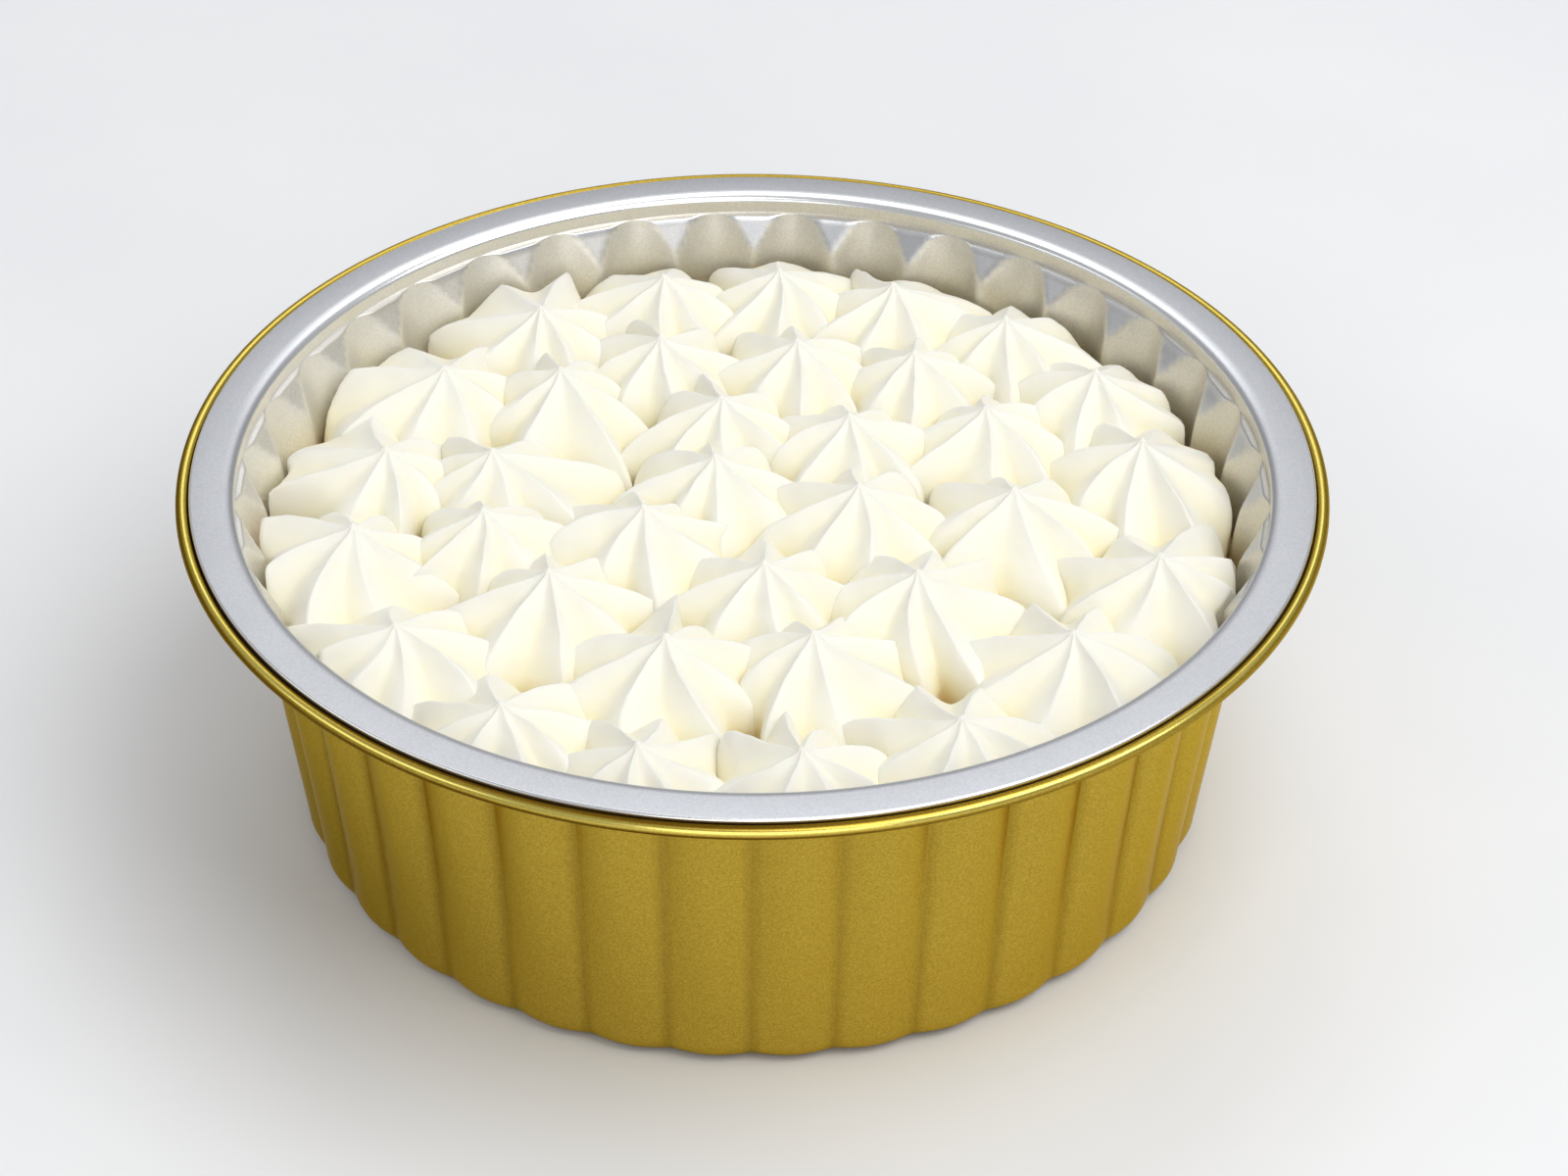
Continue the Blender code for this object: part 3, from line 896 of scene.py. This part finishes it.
def add_area_light(name, location, size, power, color):
    data = bpy.data.lights.new(name, "AREA")
    data.shape = "RECTANGLE"
    data.size, data.size_y = size
    data.energy = power
    data.color = color
    light = bpy.data.objects.new(name, data)
    light.location = location
    light.visible_camera = False
    aim = Vector(LIGHT_TARGET) - Vector(location)
    light.rotation_euler = aim.to_track_quat("-Z", "Y").to_euler()
    bpy.context.scene.collection.objects.link(light)


def build_light():
    world = bpy.data.worlds.new("studio")
    bpy.context.scene.world = world
    world.use_nodes = True
    background = world.node_tree.nodes["Background"]
    set_inputs(background, {"Color": (*COOL_WHITE, 1.0), "Strength": WORLD_STRENGTH})
    for light in LIGHTS:
        add_area_light(*light)


def build_camera():
    pitch, yaw, roll = (math.radians(v) for v in (CAMERA_PITCH, CAMERA_YAW, CAMERA_ROLL))
    flat = math.cos(pitch)
    forward = Vector((math.sin(yaw) * flat, math.cos(yaw) * flat, -math.sin(pitch)))
    level = Vector((math.cos(yaw), -math.sin(yaw), 0.0))
    upright = level.cross(forward)
    right = level * math.cos(roll) + upright * math.sin(roll)
    up = upright * math.cos(roll) - level * math.sin(roll)
    turn = Matrix((right, up, -forward)).transposed()
    data = bpy.data.cameras.new("camera")
    data.sensor_width = SENSOR_WIDTH
    data.lens = FOCAL_PIXELS / IMAGE_WIDTH * SENSOR_WIDTH
    camera = bpy.data.objects.new("camera", data)
    camera.matrix_world = Matrix.Translation((0, -CAMERA_DISTANCE, CAMERA_HEIGHT)) @ turn.to_4x4()
    bpy.context.scene.collection.objects.link(camera)
    bpy.context.scene.camera = camera


def main():
    noise.seed_set(CREAM_SEED)
    build_camera()
    build_light()
    build_stage()
    angles = even_angles(FLUTES * FLUTE_COLUMNS)
    silver_foil = foil_material("silver foil", SILVER_LOOKS, SILVER_EDGE)
    gold_foil = foil_material("gold foil", GOLD_LOOKS, GOLD_EDGE)
    pieces = [
        (silver_sheet(angles, silver_foil), "tin", "silver_foil"),
        (gold_sheet(angles, gold_foil), "tin", "gold_foil"),
        (build_sponge(sponge_material()), "cake", "sponge"),
    ]
    places = star_places()
    cream = cream_material()
    for index in range(len(places)):
        pieces.append((build_star(index, places, cream), f"star_{index + 1:02d}", "cream"))
    for piece, node, slot in pieces:
        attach(piece, "root")
        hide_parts(node)
    bpy.context.scene.view_settings.view_transform = "Standard"


main()
